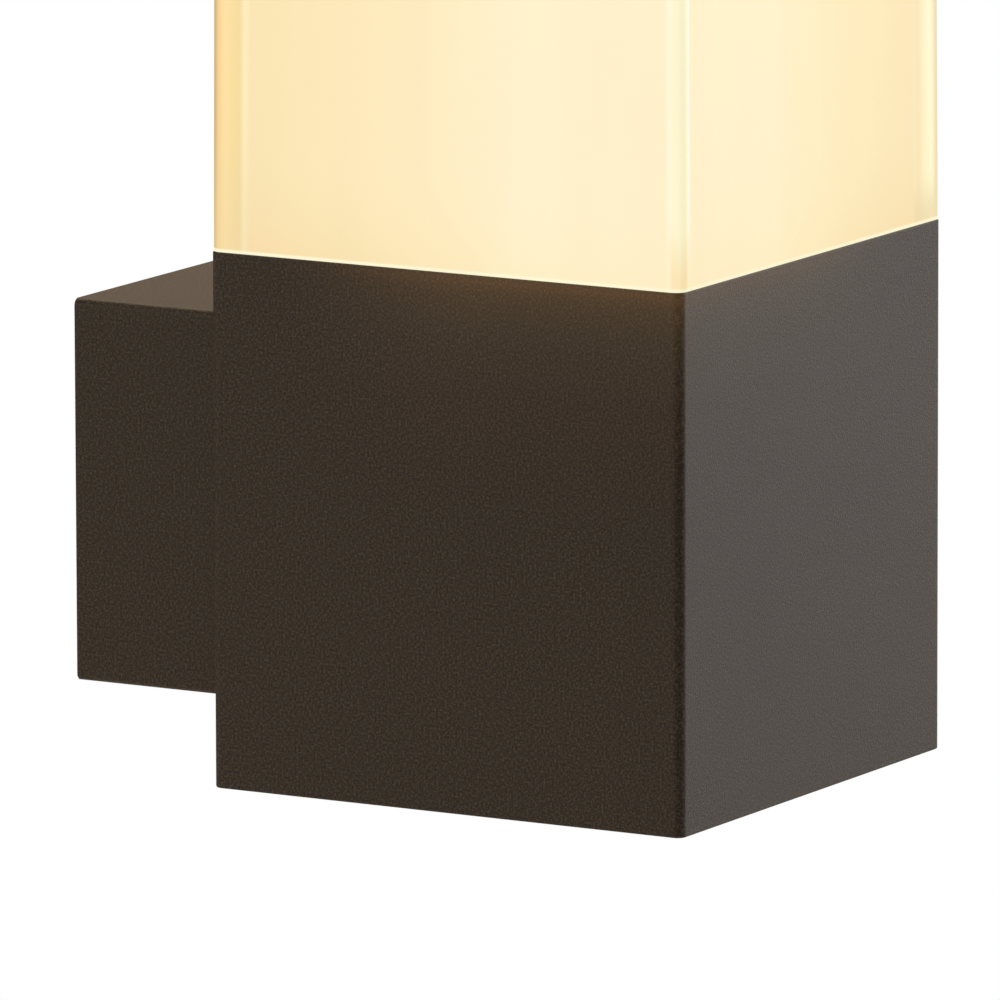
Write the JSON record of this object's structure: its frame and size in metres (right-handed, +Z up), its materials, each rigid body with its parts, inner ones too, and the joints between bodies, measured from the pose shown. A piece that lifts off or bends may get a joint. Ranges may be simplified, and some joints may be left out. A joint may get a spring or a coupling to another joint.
{
  "type": "outdoor wall light",
  "caption": "Square outdoor wall lantern: dark cube housing on a square wall arm, glowing opal square shade on top, screw-in lamp inside.",
  "frame": {"origin": "middle of the two wall screw slots, on the wall's surface", "axes": "+Y into the wall, so the light stands out along -Y; +Z up; +X to the right as seen from the front"},
  "size_m": [0.11, 0.1515, 0.28],
  "materials": {
    "powder_coat": "dark anthracite-brown fine-texture powder coat on cast and extruded aluminium",
    "opal_acrylic": "satin opal acrylic, lit warm white from inside",
    "white_coat": "matt white baked enamel on aluminium sheet",
    "galvanised_steel": "bright zinc-plated pressed steel",
    "stainless": "stainless steel, rolled-thread fasteners",
    "spring_steel": "spring-temper stainless strip",
    "brass": "bright turned brass",
    "tinned_copper": "tinned copper, dull silver",
    "nickel_plate": "nickel-plated brass shell",
    "black_rubber": "black EPDM rubber, matt",
    "foam_rubber": "closed-cell EPDM foam",
    "silicone": "translucent grey-white silicone rubber",
    "white_polyamide": "natural white moulded polyamide",
    "white_thermoplastic": "white moulded PBT",
    "brown_insulation": "brown silicone wire insulation",
    "blue_insulation": "blue silicone wire insulation",
    "green_yellow_insulation": "green and yellow silicone wire insulation",
    "black_glass": "black glass insulator of the lamp's cap",
    "lamp_plastic": "white plastic-clad aluminium heat sink",
    "opal_globe": "opal polycarbonate globe, lit warm white"
  },
  "bodies": {
    "wall_plate": {"wall_plate": "galvanised_steel", "wall_gasket": "foam_rubber", "entry_grommet": "black_rubber"},
    "lantern": {"arm_block": "powder_coat", "arm_rim_seal": "foam_rubber", "arm_gasket": "silicone", "arm_screws": "stainless", "locking_screws": "stainless", "wire_bush": "black_rubber", "terminal_block": "white_polyamide", "terminal_tubes": "brass", "terminal_screws": "stainless", "terminal_fixing_screw": "stainless", "live_wire": "brown_insulation", "neutral_wire": "blue_insulation", "earth_wire": "green_yellow_insulation", "earth_tag": "tinned_copper", "earth_screw": "brass", "housing": "powder_coat", "bottom_cover": "powder_coat", "bottom_gasket": "silicone", "bottom_screws": "stainless", "shade_collar": "white_coat", "collar_screws": "stainless", "shade_clips": "spring_steel", "shade_gasket": "silicone", "reflector": "white_coat", "holder_bracket": "galvanised_steel", "bracket_screws": "stainless", "lampholder": "white_thermoplastic", "holder_sleeve": "tinned_copper", "holder_contact": "brass", "holder_screws": "stainless", "terminal_posts": "brass", "post_screws": "stainless", "shade_ring": "white_thermoplastic"},
    "lamp_foot": {"lamp_foot_contact": "tinned_copper"},
    "lamp": {"lamp_cap_insulator": "black_glass", "lamp_cap": "nickel_plate", "lamp_body": "lamp_plastic", "lamp_globe": "opal_globe"},
    "shade": {"shade_walls": "opal_acrylic", "shade_lid": "opal_acrylic"}
  },
  "joints": [
    {"name": "arm_off_plate", "type": "slide", "parent": "wall_plate", "child": "lantern", "axis": [0, -1, 0], "range_m": [0, 0.03]},
    {"name": "shade_lift", "type": "slide", "parent": "lantern", "child": "shade", "axis": [0, 0, 1], "range_m": [0, 0.15]},
    {"name": "lamp_rise", "type": "slide", "parent": "lantern", "child": "lamp_foot", "axis": [0, 0, 1], "range_m": [0, 0.02905]},
    {"name": "lamp_turn", "type": "hinge", "parent": "lamp_foot", "child": "lamp", "pos_m": [0, -0.0965, 0.06], "axis": [0, 0, 1], "range_deg": [0, 2880]}
  ],
  "couplings": [
    {"joint": "lamp_rise", "follows": "lamp_turn", "m_per_rad": 0.00057757}
  ]
}
